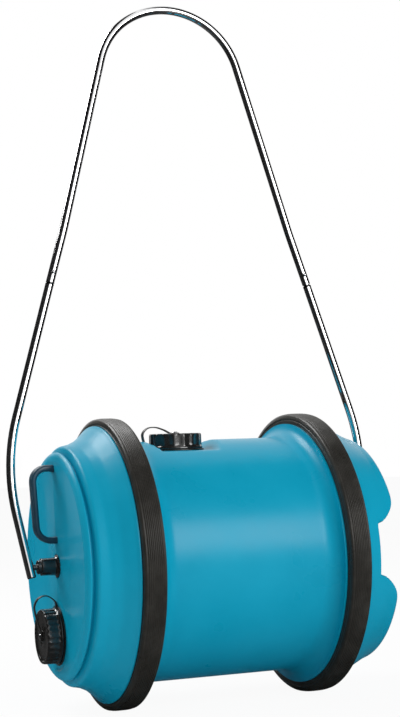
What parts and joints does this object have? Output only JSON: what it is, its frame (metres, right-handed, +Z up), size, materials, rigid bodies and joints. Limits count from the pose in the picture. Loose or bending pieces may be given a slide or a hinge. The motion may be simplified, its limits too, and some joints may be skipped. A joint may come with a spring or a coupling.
{
  "type": "rolling water container",
  "caption": "Barrel-shaped water container that rolls on two rubber tyres, with a pivoted tube handle, a filler cap and an outlet cap.",
  "frame": {"origin": "centre of the bounding box at floor level, under the middle of the barrel's axis", "axes": "+X along the barrel's axis to the base end, +Y away from the front, +Z up"},
  "size_m": [0.5588, 0.41, 1.0356],
  "materials": {
    "barrel": "satin",
    "left_tyre": "ribbed rubber",
    "right_tyre": "ribbed rubber",
    "filler_cap": "gloss",
    "filler_seal": "matt",
    "filler_strap": "satin",
    "filler_stud": "polished",
    "outlet_cap": "gloss",
    "outlet_seal": "matt",
    "outlet_strap": "satin",
    "outlet_stud": "polished",
    "left_pivot_plug": "gloss",
    "right_pivot_plug": "gloss",
    "handle_left_leg": "polished",
    "handle_right_leg": "polished",
    "handle_bow": "polished",
    "left_snap_button": "polished",
    "right_snap_button": "polished",
    "left_button_spring": "satin",
    "right_button_spring": "satin",
    "carry_handle": "satin",
    "left_leg_end_plug": "satin",
    "right_leg_end_plug": "satin"
  },
  "bodies": {
    "barrel": {"barrel": "barrel", "left_tyre": "left_tyre", "right_tyre": "right_tyre", "filler_strap": "filler_strap", "outlet_strap": "outlet_strap", "left_pivot_plug": "left_pivot_plug", "right_pivot_plug": "right_pivot_plug", "carry_handle": "carry_handle"},
    "handle": {"handle_left_leg": "handle_left_leg", "handle_right_leg": "handle_right_leg", "handle_bow": "handle_bow", "left_button_spring": "left_button_spring", "right_button_spring": "right_button_spring", "left_leg_end_plug": "left_leg_end_plug", "right_leg_end_plug": "right_leg_end_plug"},
    "left_button": {"left_snap_button": "left_snap_button"},
    "right_button": {"right_snap_button": "right_snap_button"},
    "filler_lift": {"filler_stud": "filler_stud"},
    "filler_screw": {"filler_cap": "filler_cap", "filler_seal": "filler_seal"},
    "outlet_lift": {"outlet_stud": "outlet_stud"},
    "outlet_screw": {"outlet_cap": "outlet_cap", "outlet_seal": "outlet_seal"}
  },
  "joints": [
    {"name": "handle_swing", "type": "hinge", "parent": "barrel", "child": "handle", "pos_m": [0, 0, 0.205], "axis": [1, 0, 0], "continuous": true},
    {"name": "left_button_press", "type": "slide", "parent": "handle", "child": "left_button", "axis": [0, 0.9967, -0.0811], "range_m": [0, 0.0032], "stiffness_N_per_m": 500, "springref_m": -0.003, "deforming": ["left_button_spring"]},
    {"name": "right_button_press", "type": "slide", "parent": "handle", "child": "right_button", "axis": [0, 0.9967, -0.0811], "range_m": [0, 0.0032], "stiffness_N_per_m": 500, "springref_m": -0.003, "deforming": ["right_button_spring"]},
    {"name": "filler_cap_lift", "type": "slide", "parent": "barrel", "child": "filler_lift", "axis": [0, 0, 1], "range_m": [0, 0.015], "deforming": ["filler_strap"]},
    {"name": "filler_cap_turn", "type": "hinge", "parent": "filler_lift", "child": "filler_screw", "pos_m": [-0.0308, 0, 0.3612], "axis": [0, 0, 1], "range_deg": [0, 1080]},
    {"name": "outlet_cap_lift", "type": "slide", "parent": "barrel", "child": "outlet_lift", "axis": [-1, 0, 0], "range_m": [0, 0.015], "deforming": ["outlet_strap"]},
    {"name": "outlet_cap_turn", "type": "hinge", "parent": "outlet_lift", "child": "outlet_screw", "pos_m": [-0.2133, 0, 0.1085], "axis": [-1, 0, 0], "range_deg": [0, 1080]}
  ],
  "couplings": [
    {"joint": "filler_cap_lift", "follows": "filler_cap_turn", "m_per_rad": 0.00079},
    {"joint": "outlet_cap_lift", "follows": "outlet_cap_turn", "m_per_rad": 0.00079}
  ]
}
